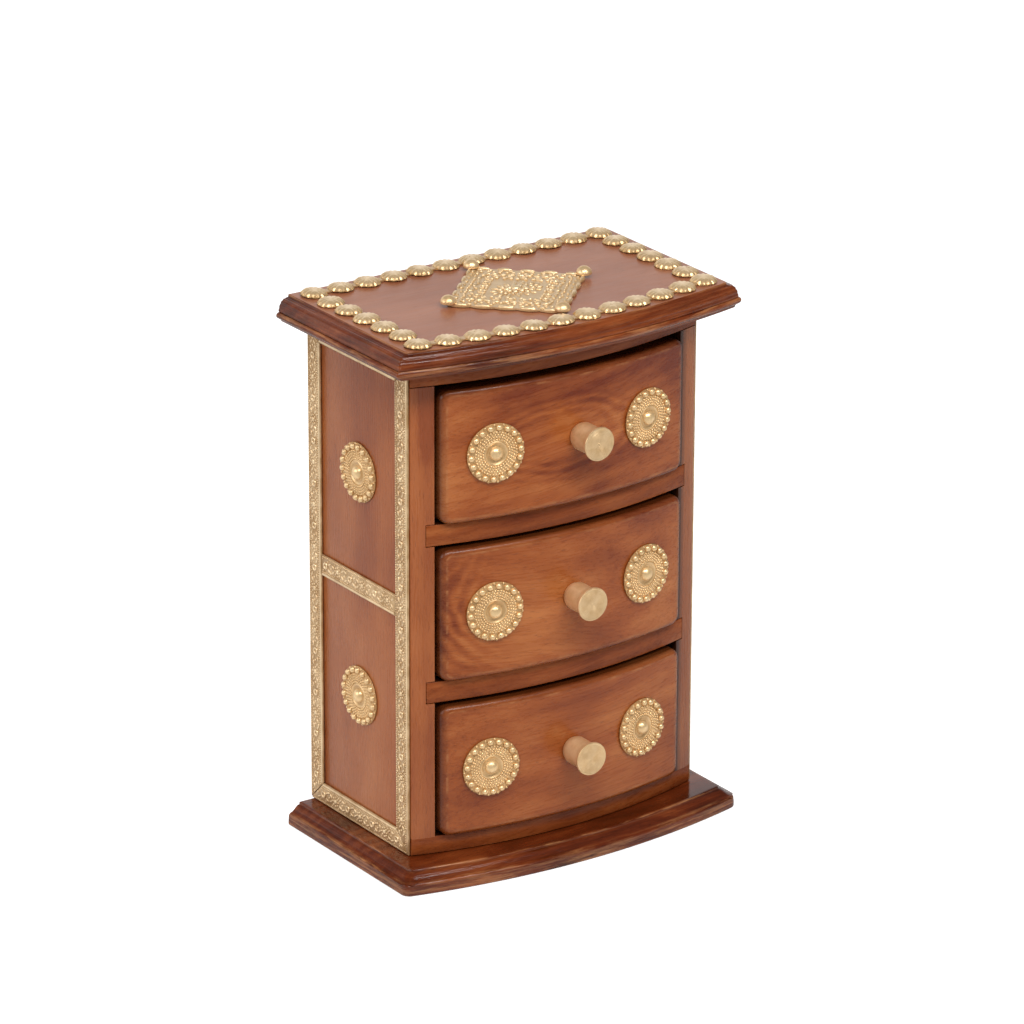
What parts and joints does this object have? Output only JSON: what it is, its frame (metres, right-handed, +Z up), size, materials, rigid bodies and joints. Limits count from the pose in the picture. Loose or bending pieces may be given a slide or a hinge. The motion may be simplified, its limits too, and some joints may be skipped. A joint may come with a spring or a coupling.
{
  "type": "chest of drawers",
  "caption": "Table-top chest with a bowed front, sliding drawers with turned knobs, moulded top and base boards, and pressed brass strips, rosettes and flower borders.",
  "frame": {"origin": "on the table, under the middle of the carcass in plan", "axes": "+Z up, -Y to the front where the drawers open, +X to the right of someone facing the front"},
  "size_m": [0.1568, 0.0973, 0.22],
  "materials": {
    "moulding_wood": "dark red-brown stain, glossy lacquer",
    "carcass_wood": "red-brown stain, semi-gloss lacquer",
    "drawer_wood": "warm red-brown stain, semi-gloss lacquer",
    "inner_wood": "bare, lightly sanded",
    "pressed_brass": "pressed sheet, satin gilt",
    "turned_brass": "turned and polished",
    "steel": "plain zinc"
  },
  "bodies": {
    "carcass": {"base_board": "moulding_wood", "top_board": "moulding_wood", "bottom_board": "carcass_wood", "left_side": "carcass_wood", "right_side": "carcass_wood", "lower_divider": "carcass_wood", "upper_divider": "carcass_wood", "under_top_board": "carcass_wood", "back_panel": "inner_wood", "left_front_strip": "pressed_brass", "left_rear_strip": "pressed_brass", "left_top_strip": "pressed_brass", "left_middle_strip": "pressed_brass", "left_bottom_strip": "pressed_brass", "left_side_upper_rosette": "pressed_brass", "left_side_lower_rosette": "pressed_brass", "right_front_strip": "pressed_brass", "right_rear_strip": "pressed_brass", "right_top_strip": "pressed_brass", "right_middle_strip": "pressed_brass", "right_bottom_strip": "pressed_brass", "right_side_upper_rosette": "pressed_brass", "right_side_lower_rosette": "pressed_brass", "front_flower_border": "pressed_brass", "rear_flower_border": "pressed_brass", "left_flower_border": "pressed_brass", "right_flower_border": "pressed_brass", "lozenge_plate": "pressed_brass", "front_dome_nail": "turned_brass", "rear_dome_nail": "turned_brass", "left_dome_nail": "turned_brass", "right_dome_nail": "turned_brass"},
    "lower_drawer": {"lower_drawer_front": "drawer_wood", "lower_drawer_left_wall": "inner_wood", "lower_drawer_right_wall": "inner_wood", "lower_drawer_back_wall": "inner_wood", "lower_drawer_floor": "inner_wood", "lower_knob": "turned_brass", "lower_knob_screw": "steel", "lower_left_rosette": "pressed_brass", "lower_right_rosette": "pressed_brass"},
    "middle_drawer": {"middle_drawer_front": "drawer_wood", "middle_drawer_left_wall": "inner_wood", "middle_drawer_right_wall": "inner_wood", "middle_drawer_back_wall": "inner_wood", "middle_drawer_floor": "inner_wood", "middle_knob": "turned_brass", "middle_knob_screw": "steel", "middle_left_rosette": "pressed_brass", "middle_right_rosette": "pressed_brass"},
    "upper_drawer": {"upper_drawer_front": "drawer_wood", "upper_drawer_left_wall": "inner_wood", "upper_drawer_right_wall": "inner_wood", "upper_drawer_back_wall": "inner_wood", "upper_drawer_floor": "inner_wood", "upper_knob": "turned_brass", "upper_knob_screw": "steel", "upper_left_rosette": "pressed_brass", "upper_right_rosette": "pressed_brass"}
  },
  "joints": [
    {"name": "lower_drawer_slide", "type": "slide", "parent": "carcass", "child": "lower_drawer", "axis": [0, -1, 0], "range_m": [0, 0.045]},
    {"name": "middle_drawer_slide", "type": "slide", "parent": "carcass", "child": "middle_drawer", "axis": [0, -1, 0], "range_m": [0, 0.045]},
    {"name": "upper_drawer_slide", "type": "slide", "parent": "carcass", "child": "upper_drawer", "axis": [0, -1, 0], "range_m": [0, 0.045]}
  ]
}
